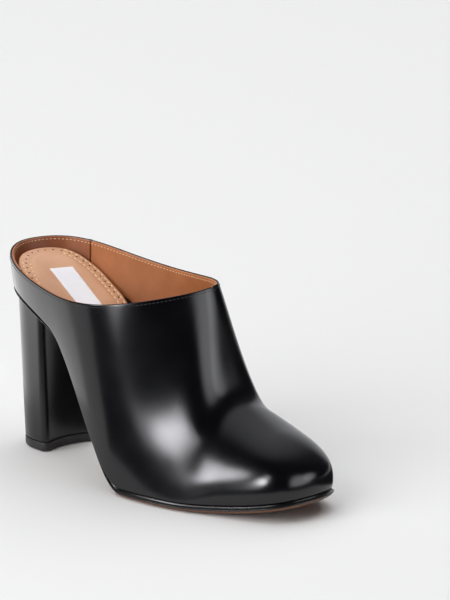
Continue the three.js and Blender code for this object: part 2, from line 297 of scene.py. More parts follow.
def place(points):
    """Points of the last's frame in the row frame, in metres."""
    return (np.asarray(points, float).reshape(-1, 3) + SHIFT) * MM


def finish_mesh(name, points, faces, materials, marks=None):
    """A smooth closed mesh object from points in the last's frame, with coinciding ones merged.

    marks gives each face's place in the list of materials.
    """
    mesh = bpy.data.meshes.new(name)
    mesh.from_pydata(place(points).tolist(), [], [tuple(int(i) for i in face) for face in faces])
    if marks is not None:
        mesh.polygons.foreach_set("material_index", np.asarray(marks, np.int32))
    for material in materials:
        mesh.materials.append(material)
    work = bmesh.new()
    work.from_mesh(mesh)
    bmesh.ops.remove_doubles(work, verts=work.verts, dist=MERGE * MM)
    bmesh.ops.dissolve_degenerate(work, edges=work.edges, dist=1e-7)
    bmesh.ops.recalc_face_normals(work, faces=work.faces)
    work.to_mesh(mesh)
    work.free()
    mesh.polygons.foreach_set("use_smooth", np.ones(len(mesh.polygons), bool))
    obj = bpy.data.objects.new(name, mesh)
    bpy.context.collection.objects.link(obj)
    return obj


def bezier(start, corner, end, count):
    """Points strictly between start and end on the curve that the corner pulls at."""
    share = (np.arange(1, count + 1) / (count + 1)).reshape(-1, *([1] * start.ndim))
    return (1 - share) ** 2 * start + 2 * share * (1 - share) * corner + share**2 * end


def loft_faces(rings, columns):
    """Quads between closed rings of columns points each."""
    here = np.arange(rings - 1)[:, None] * columns
    column = np.arange(columns)[None]
    after = (column + 1) % columns
    corners = here + column, here + after, here + columns + after, here + columns + column
    return np.stack(corners, -1).reshape(-1, 4)


def block_mesh(name, rings, material):
    """A solid through closed rings of points, with one face over each end."""
    rows, columns = len(rings), len(rings[0])
    faces = loft_faces(rows, columns).tolist()
    faces += [list(range(columns)), list(range((rows - 1) * columns, rows * columns))]
    return finish_mesh(name, np.concatenate(rings), faces, [material])


class WallMesh:
    """A skin of the upper that starts at a depth inside the last's surface.

    drop is how far its topline lies below the upper's, and roll how high the topline's rounded
    edge is. Each row is a ring: up the outer face, over the roll, down the inner face and under.
    A skin that ends before the throat is open along its whole topline; any other closes over
    the ridge from the throat to the toe.
    """

    CROWDING = 1.8  # how closely the rows crowd together towards the throat

    def __init__(self, depth, thickness, drop, roll, start=0.0, end=1.0, rows=150, toe_rows=70,
                 columns=44, foot_roll=1.0, roll_steps=5, sides=(OUTER, INNER)):
        self.depth, self.thickness = depth, thickness
        self.drop, self.roll = drop + roll, roll
        self.columns, self.steps, self.foot_roll = columns, roll_steps, foot_roll
        mouth = throat(self.drop)
        self.open = end < mouth
        self.start, self.open_rows = start, rows
        share = np.linspace(0, 1, rows + 1)
        if self.open:
            self.stations = mix(start, end, share)
        else:
            opened = mix(start, mouth, 1 - (1 - share) ** self.CROWDING)
            closed = mix(mouth, 1.0, np.arange(1, toe_rows + 1) / toe_rows)
            self.stations = np.concatenate([opened, closed])
        self.rings = [self.side_rings(side) for side in sides]

    def side_rings(self, side):
        """The half ring of every row on one side of the shoe."""
        at = self.stations
        high = wall_reach(at, side, self.drop)
        low = foot_reach(at, side, self.foot_roll)
        reach = mix(low[:, None], high[:, None], np.linspace(0, 1, self.columns))
        turn = side_turn(reach, side)
        spot, normal = last_point(at[:, None], turn), last_normal(at[:, None], turn)
        face, back = spot - self.depth * normal, spot - (self.depth + self.thickness) * normal

        out = self.topline_outward(at, side, normal[:, -1])
        crest_front = face[:, -1] + self.roll * out
        crest_back = back[:, -1] + self.roll * out
        crest = (crest_front + crest_back) / 2
        over = np.concatenate([
            bezier(face[:, -1], crest_front, crest, self.steps),
            crest[None],
            bezier(crest, crest_back, back[:, -1], self.steps),
        ])

        foot_turn = side_turn(np.zeros_like(at), side)
        base = last_point(at, foot_turn)
        level = unit(last_normal(at, foot_turn) * [1, 1, 0])
        corner = base - self.depth * level
        under_end = corner - min(self.foot_roll, self.thickness) * level
        inside = base - (self.depth + self.thickness) * level
        under = np.concatenate([
            inside[None],
            under_end[None],
            bezier(under_end, corner, face[:, 0], self.steps),
        ])
        up, down = face.transpose(1, 0, 2), back[:, ::-1].transpose(1, 0, 2)
        return np.concatenate([up, over, down, under]).transpose(1, 0, 2)

    def topline_outward(self, at, side, normal):
        """The direction in the wall's surface that leaves it square to the topline."""
        mouth = throat(self.drop)
        here = np.minimum(at, mouth - AT_THROAT)
        before = np.maximum(here - STEP, -STEP)
        after = np.minimum(here + STEP, mouth - AT_THROAT / 100)
        ahead = last_point(after, side_turn(wall_reach(after, side, self.drop), side))
        behind = last_point(before, side_turn(wall_reach(before, side, self.drop), side))
        tangent = unit(ahead - behind)
        across = np.array([0.0, 1.0 if side == OUTER else -1.0, 0.0])
        tangent = np.where((at >= mouth - AT_THROAT)[:, None], across, tangent)
        out = unit(np.cross(tangent, normal))
        return out if side == INNER else -out

    def faces(self, offset):
        """The faces between rows, without the roll where the skin closes over the ridge."""
        rows, columns = self.rings[0].shape[:2]
        quads = loft_faces(rows, columns).reshape(rows - 1, columns, 4)
        shut = np.zeros((rows - 1, columns), bool)
        if not self.open:
            shut[self.open_rows:, self.columns - 1:self.columns + 2 * self.steps + 1] = True
        return (quads[~shut] + offset).tolist()

    def cap(self, row, offset):
        """The faces that end the skin at one of its rows."""
        count, columns = self.columns, self.rings[0].shape[1]
        back = count + 2 * self.steps + 1
        last = back + count - 1
        first = offset + row * columns
        faces = [
            [first + j, first + j + 1, first + last - 1 - j, first + last - j]
            for j in range(count - 1)
        ]
        faces.append([first + k for k in range(count - 1, back + 1)])
        faces.append([first + k for k in range(last, columns)] + [first])
        return faces

    def build(self, name, material):
        """The skin as a mesh object."""
        points = np.concatenate([ring.reshape(-1, 3) for ring in self.rings])
        per_side = points.shape[0] // len(self.rings)
        faces = []
        for k in range(len(self.rings)):
            faces += self.faces(k * per_side)
            if self.start > 0:
                faces += self.cap(0, k * per_side)
            if self.open:
                faces += self.cap(len(self.stations) - 1, k * per_side)
        return finish_mesh(name, points, faces, [material])


def inward_of(at, y):
    """How far y lies across the sole, from 0 at its outer edge to 1 at its inner edge."""
    start, end = (outline(at, side, np.zeros_like(at))[..., 1] for side in (OUTER, INNER))
    width = np.maximum(end - start, 1e-6)  # none at the very tips
    return np.where(width > 0.01, np.clip((y - start) / width, 0, 1), 0.5)


def section(rows, over=(), under=()):
    """A sheet's closed section: up one side, across, down the other and back underneath.

    A row is inset(x) and height(x, inward): how far in from the outline and how high it runs.
    over and under are shares of the way across at which the top and the underside have rows.
    """
    profile = [(0.0, *row) for row in rows]
    profile += [(share, *rows[-1]) for share in over]
    profile += [(1.0, *row) for row in rows[::-1]]
    return profile + [(share, *rows[0]) for share in under]


def sheet_mesh(name, at, profile, materials, marks=None):
    """A closed sheet over the sole's outline, with one ring of points a station.

    marks gives the material of each row of the section.
    """
    x = along(at)
    rows = []
    for share, inset, height in profile:
        outer, inner = (outline(at, side, inset(x)) for side in (OUTER, INNER))
        point = mix(outer, inner, share)
        point[:, 2] = height(point[:, 0], inward_of(at, point[:, 1]))
        rows.append(point)
    faces = loft_faces(len(at), len(rows))
    kinds = np.tile(marks if marks is not None else [0] * len(rows), len(at) - 1)
    return finish_mesh(name, np.stack(rows, 1).reshape(-1, 3), faces, materials, kinds)


def sheet_stations(at_heel, forward, crowding):
    """Stations for a sheet, crowded at the heel: a count up to x = 60 and one from there on."""
    seam = station(60)
    heel = seam * np.linspace(0, 1, at_heel) ** crowding
    return np.concatenate([heel, np.linspace(seam, 1, forward)[1:]])


# ------------------------ the sock
SOCK_AT_BACK = 14.2  # thickness over the heel
SOCK_AT_WAIST = 4.6  # thickness under the arch
SOCK_AT_BALL = 4.0  # thickness at the forepart
SOCK_ROUND = 1.4  # radius of its upper edge
SOCK_CLEAR = WALL + GAP + 0.3  # how far its edge lies inside the last's outline
SOCK_EASE = 9.6  # extra room beside it in front of the heel
SOCK_REGAIN = 0.8  # share of that room given up again towards the toe
SOCK_PAD = 0.5  # how far its middle swells above the border
OUTER_SEAM, HOLE_ROW, INNER_SEAM = 2.2, 3.9, 6.3  # the border's rows, in from the edge
SEAM_DEPTH = 0.3  # how deep the two seams press in
BORDER = 9.0  # width of the border
BORDER_ROWS = 24
BORDER_LOSS = 0.92  # share of that width given up towards the toe
SOCK_LIFT = 0.02  # how far its underside lies above the sole line

# Where along the shoe the sock changes, from and to.
WEDGE_FALLS, FOREPART_THINS = (2, 56), (60, 135)
ROOM_OPENS, ROOM_CLOSES = (28, 80), (100, 170)
BORDER_NARROWS, SEAMS_START, RELIEF_FADES = (120, 205), (6, 20), (110, 150)


def sock_inset(x):
    """How far the sock's edge lies in from the last's outline."""
    regained = SOCK_REGAIN * ease(x, *ROOM_CLOSES)
    return SOCK_CLEAR + SOCK_EASE * ease(x, *ROOM_OPENS) * (1 - regained)


def sock_top(x, inward):
    """Height of the sock's flat top."""
    thick = mix(SOCK_AT_BACK, SOCK_AT_WAIST, ease(x, *WEDGE_FALLS))
    thick = thick + (SOCK_AT_BALL - SOCK_AT_WAIST) * ease(x, *FOREPART_THINS)
    return foot_height(x, inward) + thick


def narrowing(x):
    """How much of the border's width is left towards the toe."""
    return 1 - BORDER_LOSS * ease(x, *BORDER_NARROWS)


def seam_dip(inset):
    """How deep the two seams press the sock in, at an inset from its edge."""
    outer, inner = (inset - OUTER_SEAM) / 0.55, (inset - INNER_SEAM) / 0.6
    return SEAM_DEPTH * (np.exp(-(outer**2)) + np.exp(-(inner**2)))


def sock_relief(inset, x):
    """The padding's rise at an inset from the edge; the seams fade out round the heel."""
    pad = SOCK_PAD * ease(inset, INNER_SEAM, BORDER + 1)
    return (pad - seam_dip(inset) * ease(x, *SEAMS_START)) * (1 - ease(x, *RELIEF_FADES))


def border_line(inset):
    """Where a line at an inset from the sock's edge runs."""
    return lambda x: sock_inset(x) + inset * narrowing(x)


def sock_profile():
    """The sock's section: a rounded edge, a stitched border, a padded middle and a flat back."""
    rows = [(sock_inset, lambda x, inward: foot_height(x, inward) + SOCK_LIFT)]
    for angle in RIDGE * np.arange(7) / 6:
        fall = SOCK_ROUND * (1 - math.sin(angle))
        rows.append((border_line(SOCK_ROUND * (1 - math.cos(angle))),
                     lambda x, inward, fall=fall: sock_top(x, inward) - fall))
    for inset in np.arange(1, BORDER_ROWS + 1) * (BORDER - SOCK_ROUND) / BORDER_ROWS + SOCK_ROUND:
        rows.append((border_line(inset),
                     lambda x, inward, s=inset: sock_top(x, inward) + sock_relief(s, x)))
    shares = np.linspace(0, 1, 26)[1:-1]
    return section(rows, shares, shares[::-2])


def sock_spot(at, side, inset):
    """A point on the sock's top, inset from its edge, and the upward direction there."""
    def spot(at):
        x = along(at)
        point = outline(at, side, border_line(inset)(x))
        point[:, 2] = sock_top(point[:, 0], inward_of(at, point[:, 1])) + sock_relief(inset, x)
        return point

    tangent = unit(spot(at + STEP) - spot(at - STEP))
    level = np.cross(tangent, [0, 0, 1.0])
    return spot(at), unit(np.cross(level, tangent))


# ------------------------ the sole
SOLE_AT_BALL = 4.0  # thickness under the ball
SOLE_AT_SEAT = 2.6  # thickness at the waist and over the heel
SOLE_TUCK = 1.4  # how far it lies inside the upper at the waist
SEAT_TUCK = 0.2  # how far it lies inside the upper over the heel
SOLE_THICKENS = 72, TREAD_START - 2  # from and to where along the shoe
SOLE_TUCKS_IN = 34, 60

# The edge from top to bottom: how far in from its outline; depth as a share of the thickness.
# A recess under the upper, a fine bead that stands out, a bevel, and the underside's rim.
SOLE_EDGE = [
    (2.0, 0.0), (1.3, 0.0), (1.15, 0.06), (1.0, 0.2), (0.6, 0.33), (0.12, 0.4), (-0.04, 0.45),
    (-0.06, 0.5), (0.0, 0.56), (0.16, 0.62), (0.9, 0.82), (1.8, 0.95), (2.4, 1.0),
]
BARE_EDGE_ROWS = 4  # the last rows of the edge, which the ink leaves bare


def sole_thickness(x):
    """Thickness of the sole at x."""
    return mix(SOLE_AT_SEAT, SOLE_AT_BALL, ease(x, *SOLE_THICKENS))


def sole_height(x, inward, down):
    """Height in the sole, down from its top by a share of its thickness."""
    return foot_height(x, inward) - GAP - down * sole_thickness(x)


def sole_inset(x):
    """How far the sole's edge lies in from the last's outline."""
    tuck = mix(SEAT_TUCK, SOLE_TUCK, ease(x, *SOLE_TUCKS_IN))
    return mix(tuck, -SOLE_PROUD, ease(x, *SOLE_STANDS_OUT))


def sole_profile():
    """The sole's section, and for each row whether it is inked (0) or bare leather (1)."""
    rows = [
        (lambda x, inset=inset: sole_inset(x) + inset,
         lambda x, inward, down=down: sole_height(x, inward, down))
        for inset, down in SOLE_EDGE
    ]
    shares = np.linspace(0, 1, 18)[1:-1]
    profile = section(rows, shares, shares[::-1])
    inked = len(SOLE_EDGE) - BARE_EDGE_ROWS
    bare = 2 * BARE_EDGE_ROWS + len(shares) - 1
    marks = [0] * inked + [1] * bare + [0] * (len(profile) - inked - bare)
    return profile, marks


# ------------------------ the heel
# The heel level by level: height; place of its back; of its front corners; half width; depth
# of the hollow in its breast; sideways place; how much narrower it is at the back.
HEEL_LEVELS = np.array([
    [TOP_PIECE + GAP, 2.5, 31.9, 17.5, 4.4, 2.2, 0.1],
    [45, 0.9, 31.4, 18.8, 4.4, 1.9, 0.14],
    [70, 0.1, 31.9, 20.2, 4.2, 1.5, 0.2],
    [84, -0.3, 32.7, 21.4, 3.8, 1.2, 0.25],
    [94, -0.6, 33.2, 22.2, 3.5, 1, 0.28],
])
HEEL_FOOT = HEEL_LEVELS[0, 0]
HEEL_ROUND = 18.0  # length over which the back of the heel is rounded
HEEL_CORNER = 3.5  # radius of the two front corners
HEEL_SKEW = 2.6  # how far the inner front corner lies ahead of the middle
HEEL_EDGE = 0.35  # how far its two ends are drawn in, as a rounded edge
HEEL_EDGE_SHARE = 0.004  # the part of its height that this edge takes

# The top piece from the floor up: height; how far it is drawn in from the heel's outline.
TOP_PIECE_EDGE = [
    (0.0, 0.7), (0.15, 0.3), (0.6, 0.0),
    (TOP_PIECE - 0.5, 0.0), (TOP_PIECE - 0.15, 0.12), (TOP_PIECE, 0.4),
]


def level_curve(column):
    """One column of the heel's levels as a curve of the height."""
    heights, values = HEEL_LEVELS[:, 0], HEEL_LEVELS[:, column]
    return hermite(heights, values, np.gradient(values, heights))


heel_back, heel_breast, heel_half, heel_hollow, heel_middle, heel_splay = (
    level_curve(k) for k in range(1, 7)
)


def heel_spot(part, z):
    """A point of the heel's outline at height z; part names a stretch and how far along it."""
    back, breast, reach, hollow = heel_back(z), heel_breast(z), heel_half(z), heel_hollow(z)
    flat = reach - HEEL_CORNER

    def front(y):
        return breast - hollow * (1 - (y / reach) ** 2) + HEEL_SKEW * y / reach

    kind, share = part
    if kind == "breast":
        y = mix(-flat, flat, share)
        x = front(y)
    elif kind == "round":
        angle = RIDGE * (1 - 2 * share)
        x = back + HEEL_ROUND * (1 - np.abs(np.cos(angle)) ** 0.9)
        y = reach * np.sin(angle)
    else:
        side = 1 if kind == "inner corner" else -1
        angle = RIDGE * (share if side > 0 else 1 - share)
        x = front(side * flat) - HEEL_CORNER + HEEL_CORNER * np.cos(angle)
        y = side * (flat + HEEL_CORNER * np.sin(angle))
    behind = np.clip((breast - x) / (breast - back), 0, 1)
    return stack(x, heel_middle(z) + y * (1 - heel_splay(z) * behind), z)


def heel_parts():
    """All the parts of the heel's outline, once round from the breast's outer end."""
    corner = np.linspace(0, 1, 9)
    around = (1 - np.cos(np.pi * np.linspace(0, 1, 71))) / 2
    parts = [("breast", share) for share in np.linspace(0, 1, 33)]
    parts += [("inner corner", share) for share in corner[1:]]
    parts += [("round", share) for share in around]
    parts += [("outer corner", share) for share in corner[:-1]]
    return parts


def heel_top(part):
    """The height at which the heel's side meets the sole, closed in on step by step."""
    z = SEAT_HEIGHT - 5
    for _ in range(12):
        x, y, _ = heel_spot(part, z)
        at = station(np.clip([x], 0.1, LENGTH))
        z = float(sole_height(x, inward_of(at, y)[0], 1) - GAP)
    return z


def ring_inset(ring, amount):
    """A ring of points moved towards its own inside."""
    tangent = unit(np.roll(ring, -1, 0) - np.roll(ring, 1, 0))
    return ring - amount * np.cross(tangent, [0, 0, 1.0])


def heel_mesh(name, material):
    """The heel from the top piece up to the sole."""
    parts = heel_parts()
    tops = [heel_top(part) for part in parts]
    rings = []
    for share in (0, *np.linspace(HEEL_EDGE_SHARE, 1 - HEEL_EDGE_SHARE, 60), 1):
        ring = np.array([
            heel_spot(part, mix(HEEL_FOOT, height, share)) for part, height in zip(parts, tops)
        ])
        rings.append(ring_inset(ring, HEEL_EDGE) if share in (0, 1) else ring)
    return block_mesh(name, rings, material)


def top_piece_mesh(name, material):
    """The wearing layer under the heel, with its edges a little rounded."""
    outline_ring = np.array([heel_spot(part, HEEL_FOOT) for part in heel_parts()])
    rings = []
    for height, inset in TOP_PIECE_EDGE:
        ring = ring_inset(outline_ring, inset)
        ring[:, 2] = height
        rings.append(ring)
    return block_mesh(name, rings, material)


# ------------------------ finishes
def shader_nodes(name, base, roughness, **sockets):
    """A material with one Principled shader; sockets are its even settings."""
    material = bpy.data.materials.new(name)
    material.use_nodes = True
    tree = material.node_tree
    shader = tree.nodes["Principled BSDF"]
    shader.inputs["Base Color"].default_value = (*base, 1)
    shader.inputs["Roughness"].default_value = roughness
    for socket, value in sockets.items():
        shader.inputs[socket.replace("_", " ")].default_value = value
    return material, tree, shader


def feed(tree, socket, value):
    """Links a node's first output, or the given output, to a socket, or sets its own value."""
    if isinstance(value, bpy.types.Node):
        value = value.outputs[0]
    if isinstance(value, bpy.types.NodeSocket):
        tree.links.new(value, socket)
    else:
        socket.default_value = value


def node(tree, kind, settings=None, **inputs):
    """A node with its settings, and its inputs fed by name."""
    made = tree.nodes.new(kind)
    for key, value in (settings or {}).items():
        setattr(made, key, value)
    for key, value in inputs.items():
        feed(tree, made.inputs[key.replace("_", " ")], value)
    return made


def added(tree, first, second):
    """The sum of two values."""
    made = node(tree, "ShaderNodeMath", {"operation": "ADD"})
    feed(tree, made.inputs[0], first)
    feed(tree, made.inputs[1], second)
    return made


def noise(tree, place, scale, detail):
    """Cloudy noise over a place."""
    return node(tree, "ShaderNodeTexNoise", Vector=place, Scale=scale, Detail=detail,
                Roughness=0.55)


def ramped(tree, clouds, low, high):
    """A value from low to high, as the clouds go."""
    return node(tree, "ShaderNodeMapRange", Value=clouds, From_Min=0.3, From_Max=0.7,
                To_Min=low, To_Max=high)


def tinted(tree, shader, clouds, dark, light):
    """Gives a shader a colour from dark to light, as the clouds go."""
    made = node(tree, "ShaderNodeMix", {"data_type": "RGBA"})
    for socket, value in zip([s for s in made.inputs if s.type == "RGBA"], (dark, light)):
        socket.default_value = (*value, 1)
    feed(tree, made.inputs["Factor"], ramped(tree, clouds, 0, 1))
    colour = next(s for s in made.outputs if s.type == "RGBA")
    feed(tree, shader.inputs["Base Color"], colour)


def raised(tree, shader, height, strength, depth):
    """Gives a shader the relief of a height pattern."""
    bump = node(tree, "ShaderNodeBump", Strength=strength, Distance=depth, Height=height)
    feed(tree, shader.inputs["Normal"], bump)


def leather(name, dark, light, rough, grain=0.00035, depth=0.00002, **sockets):
    """Leather: a pebbled pore grain, soft mottling of its colour and an uneven polish."""
    material, tree, shader = shader_nodes(name, light, rough[0], **sockets)
    place = node(tree, "ShaderNodeTexCoord").outputs["Object"]
    cells = node(tree, "ShaderNodeTexVoronoi", {"feature": "SMOOTH_F1"}, Vector=place,
                 Scale=1 / grain, Smoothness=0.6)
    pores = noise(tree, place, 0.5 / grain, 4.0)
    raised(tree, shader, added(tree, cells, pores), 0.5, depth)
    clouds = noise(tree, place, 60.0, 3.0)
    tinted(tree, shader, clouds, dark, light)
    feed(tree, shader.inputs["Roughness"], ramped(tree, clouds, *rough))
    return material


def thread(name, dark, light):
    """Twisted sewing thread."""
    material, tree, shader = shader_nodes(name, light, 0.6)
    fibres = noise(tree, node(tree, "ShaderNodeTexCoord").outputs["Object"], 2500.0, 2.0)
    raised(tree, shader, fibres, 0.4, 0.00005)
    tinted(tree, shader, fibres, dark, light)
    return material


# Each finish: darker colour, lighter colour, roughness from its glossiest to its dullest.
polished_calf = leather(
    "polished calf", (0.0012, 0.0012, 0.0022), (0.0022, 0.0022, 0.0036), (0.17, 0.21),
    grain=0.0003, depth=0.000006)
heel_calf = leather(
    "heel calf", (0.0016, 0.0016, 0.0024), (0.003, 0.003, 0.0042), (0.3, 0.36),
    grain=0.0003, depth=0.000008)
vamp_lining_leather = leather(
    "vamp lining leather", (0.42, 0.15, 0.052), (0.52, 0.2, 0.074), (0.45, 0.55))
heel_lining_leather = leather(
    "heel lining leather", (0.3, 0.1, 0.042), (0.4, 0.145, 0.065), (0.36, 0.46))
sock_leather = leather(
    "sock leather", (0.6, 0.31, 0.175), (0.7, 0.39, 0.235), (0.38, 0.48), Sheen_Weight=0.05)
sole_leather = leather(
    "sole leather", (0.13, 0.05, 0.022), (0.2, 0.085, 0.042), (0.4, 0.55), depth=0.00003)
edge_ink = leather(
    "edge ink", (0.002, 0.002, 0.002), (0.004, 0.003, 0.003), (0.24, 0.3), depth=0.000008)
heel_rubber = leather(
    "heel rubber", (0.011, 0.011, 0.012), (0.02, 0.02, 0.021), (0.42, 0.55), grain=0.0005)
# Painted shade: the walls and floors of the punched holes are coloured dark for the shade inside
# them.
painted_hole_shade = leather(
    "painted shade in punched holes", (0.05, 0.016, 0.006), (0.09, 0.03, 0.012), (0.8, 0.9))
# Painted shade: the board under the sock is near black for the shade in the slit beside it.
board_in_painted_shade = leather(
    "board in painted shade", (0.012, 0.008, 0.006), (0.022, 0.014, 0.01), (0.8, 0.9))
label_cloth = leather(
    "label cloth", (0.9, 0.9, 0.95), (0.97, 0.97, 1.0), (0.45, 0.55), grain=0.0004)
cream_thread = thread("cream thread", (0.86, 0.55, 0.28), (1.0, 0.76, 0.46))
black_thread = thread("black thread", (0.012, 0.012, 0.014), (0.05, 0.05, 0.055))


# ------------------------ stitches and holes
def path_mesh(name, points, outward):
    """A line of edges that carries its outward direction, for stitches or holes to follow."""
    mesh = bpy.data.meshes.new(name)
    edges = [(k, k + 1) for k in range(len(points) - 1)]
    mesh.from_pydata(place(points).tolist(), edges, [])
    attribute = mesh.attributes.new("outward", "FLOAT_VECTOR", "POINT")
    attribute.data.foreach_set("vector", np.asarray(outward, np.float32).ravel())
    obj = bpy.data.objects.new(name, mesh)
    bpy.context.collection.objects.link(obj)
    return obj


def new_tree(name, inputs, output):
    """An empty geometry nodes tree with named inputs, a kind for each, and one output."""
    tree = bpy.data.node_groups.new(name, "GeometryNodeTree")
    for title, kind in inputs.items():
        tree.interface.new_socket(title, in_out="INPUT", socket_type="NodeSocket" + kind)
    tree.interface.new_socket(output, in_out="OUTPUT", socket_type="NodeSocketGeometry")
    return tree, tree.nodes.new("NodeGroupInput").outputs, tree.nodes.new("NodeGroupOutput").inputs


def spaced_along(tree, path, pitch, piece, length, width, height):
    """Copies of a piece at even steps of a path, turned along it and outwards, made real."""
    size = node(tree, "ShaderNodeCombineXYZ", X=length, Y=width, Z=height)
    curve = node(tree, "GeometryNodeMeshToCurve", Mesh=path)
    even = node(tree, "GeometryNodeResampleCurve", {"mode": "LENGTH"}, Curve=curve, Length=pitch)
    outward = node(tree, "GeometryNodeInputNamedAttribute", {"data_type": "FLOAT_VECTOR"},
                   Name="outward")
    ahead = node(tree, "FunctionNodeAlignRotationToVector", {"axis": "X"},
                 Vector=node(tree, "GeometryNodeInputTangent"))
    upright = node(tree, "FunctionNodeAlignRotationToVector", {"axis": "Z", "pivot_axis": "X"},
                   Rotation=ahead, Vector=outward)
    copies = node(tree, "GeometryNodeInstanceOnPoints", Points=even, Instance=piece,
                  Rotation=upright, Scale=size)
    return node(tree, "GeometryNodeRealizeInstances", Geometry=copies)


def stitch_tree():
    """Geometry nodes that sew a row of stitches along a path."""
    tree, given, result = new_tree("row of stitches", {
        "Path": "Geometry", "Pitch": "Float", "Length": "Float", "Thickness": "Float",
        "Thread": "Material",
    }, "Stitches")
    bead = node(tree, "GeometryNodeMeshUVSphere", Segments=8, Rings=5, Radius=0.5)
    sewn = spaced_along(tree, given["Path"], given["Pitch"], bead, given["Length"],
                        given["Thickness"], given["Thickness"])
    smooth = node(tree, "GeometryNodeSetShadeSmooth", Geometry=sewn)
    feed(tree, result["Stitches"],
         node(tree, "GeometryNodeSetMaterial", Geometry=smooth, Material=given["Thread"]))
    return tree


def punch_tree():
    """Geometry nodes that punch a row of round holes into a piece of leather along a path; the
    holes' walls and floors take a material of painted shade.
    """
    tree, given, result = new_tree("row of holes", {
        "Leather": "Geometry", "Path": "Object", "Pitch": "Float", "Diameter": "Float",
        "Depth": "Float", "Shade": "Material",
    }, "Punched")
    path = node(tree, "GeometryNodeObjectInfo", {"transform_space": "ORIGINAL"},
                Object=given["Path"]).outputs["Geometry"]
    pin = node(tree, "GeometryNodeMeshCylinder", Vertices=12, Radius=0.5, Depth=2.0)
    pins = spaced_along(tree, path, given["Pitch"], pin, given["Diameter"], given["Diameter"],
                        given["Depth"])
    shaded = node(tree, "GeometryNodeSetMaterial", Geometry=pins, Material=given["Shade"])
    cut = node(tree, "GeometryNodeMeshBoolean", {"operation": "DIFFERENCE", "solver": "EXACT"})
    feed(tree, cut.inputs["Mesh 1"], given["Leather"])
    feed(tree, cut.inputs["Mesh 2"], shaded)
    feed(tree, result["Punched"], cut)
    return tree


def grow(obj, tree, **sizes):
    """Runs a geometry nodes tree on an object and keeps the result as its plain mesh."""
    modifier = obj.modifiers.new(tree.name, "NODES")
    modifier.node_group = tree
    for item in tree.interface.items_tree:
        if item.in_out == "INPUT" and item.name in sizes:
            modifier[item.identifier] = sizes[item.name]
    view = bpy.context.evaluated_depsgraph_get()
    mesh = bpy.data.meshes.new_from_object(obj.evaluated_get(view), depsgraph=view)
    obj.modifiers.remove(modifier)
    obj.data = mesh
    return obj


STITCHES = stitch_tree()
HOLES = punch_tree()


def sewn_row(name, points, outward, cloth, pitch, length, thickness):
    """A row of stitches along a line; their sizes are in millimetres."""
    path = path_mesh(name, points, outward)
    return grow(path, STITCHES, Pitch=pitch * MM, Length=length * MM, Thickness=thickness * MM,
                Thread=cloth)


def both_sides(outer, inner):
    """One line round the heel from the outer side's front to the inner side's front."""
    return np.concatenate([outer[::-1], inner[1:]])


def topline_path(below, depth):
    """The line that runs all round, below the topline and at a depth in the wall."""
    at = throat(below) * (1 - (1 - np.linspace(0, 1, 160)) ** WallMesh.CROWDING)
    spots, normals = [], []
    for side in (OUTER, INNER):
        turn = side_turn(wall_reach(at, side, below), side)
        normals.append(last_normal(at, turn))
        spots.append(last_point(at, turn) - depth * normals[-1])
    return both_sides(spots[0], spots[1][:-1]), both_sides(normals[0], normals[1][:-1])


# ------------------------ the shoe
CALF = 0.9  # thickness of the outer leather
LINING = 1.15  # thickness of the lining
LINING_DEPTH = 1.0  # how far the lining's outer face lies inside the last's surface
SEAM_X = 23.6  # where the lining's two parts and the outer leather are seamed
SEAM_GAP = 0.35  # half the gap between the lining's two parts
FOLD_WIDTH = 2.2  # width of the folded edge of the outer leather at its seam
FOLD_RISE, FOLD_THICKNESS = 0.28, 0.5  # how far the fold stands out; how thick it is
THREAD_RISE = 0.03  # how far a collar stitch's middle lies out of the leather
THREAD_SUNK = -0.04  # how far a lining stitch's middle does
HOLES_END, ROWS_START, ROWS_END = 120, 10, 120  # where the sock's holes and rows run


def carry(obj, slot, *nodes):
    """The piece goes with the shoe, and the imported parts that nodes names are hidden. slot is not
    used.
    """
    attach(obj, "root")
    if nodes:
        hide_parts(*nodes)


calf = WallMesh(depth=0.0, thickness=CALF, drop=0.0, roll=0.75)
carry(calf.build("calf_upper", polished_calf), "calf", "upper")

seam = float(station(SEAM_X))
seam_step = float(station(SEAM_X + SEAM_GAP)) - seam
lining_form = dict(depth=LINING_DEPTH, thickness=LINING, drop=0.15, roll=0.45, columns=26,
                   foot_roll=0.4, roll_steps=3)
vamp_lining = WallMesh(**lining_form, start=seam + seam_step, rows=110, toe_rows=40)
carry(vamp_lining.build("vamp_lining", vamp_lining_leather), "lining")
heel_lining = WallMesh(**lining_form, end=seam - seam_step, rows=50)
carry(heel_lining.build("heel_lining", heel_lining_leather), "lining")

# The outer leather is folded back at its seam, on the inner side only.
fold = WallMesh(-FOLD_RISE, FOLD_THICKNESS, 0.0, 0.3, start=station(SEAM_X - FOLD_WIDTH),
                end=station(SEAM_X), rows=6, columns=30, foot_roll=0.4, roll_steps=3,
                sides=(INNER,))
carry(fold.build("back_seam_fold", polished_calf), "calf")

points, outward = topline_path(below=1.7, depth=-THREAD_RISE)
carry(sewn_row("collar_stitching", points, outward, black_thread, 2.2, 1.7, 0.4), "calf")
points, outward = topline_path(below=1.6, depth=LINING_DEPTH + LINING - THREAD_SUNK)
carry(sewn_row("lining_stitching", points, -outward, cream_thread, 2.2, 1.6, 0.4), "lining")

sock = sheet_mesh("sock", sheet_stations(90, 90, 1.2), sock_profile(), [sock_leather])


def sock_rows(inset, start_x, end_x):
    """On both sides of the sock, a line inset from its edge and the upward direction there."""
    at = np.linspace(station(start_x), station(end_x), 140)
    return [sock_spot(at, side, inset) for side in (OUTER, INNER)]


(outer, outer_up), (inner, inner_up) = sock_rows(HOLE_ROW, 0, HOLES_END)
hole_path = path_mesh("hole path", both_sides(outer, inner), both_sides(outer_up, inner_up))
grow(sock, HOLES, Path=hole_path, Pitch=4.6 * MM, Diameter=1.0 * MM, Depth=0.8 * MM,
     Shade=painted_hole_shade)
bpy.data.objects.remove(hole_path)
carry(sock, "sock", "insole")
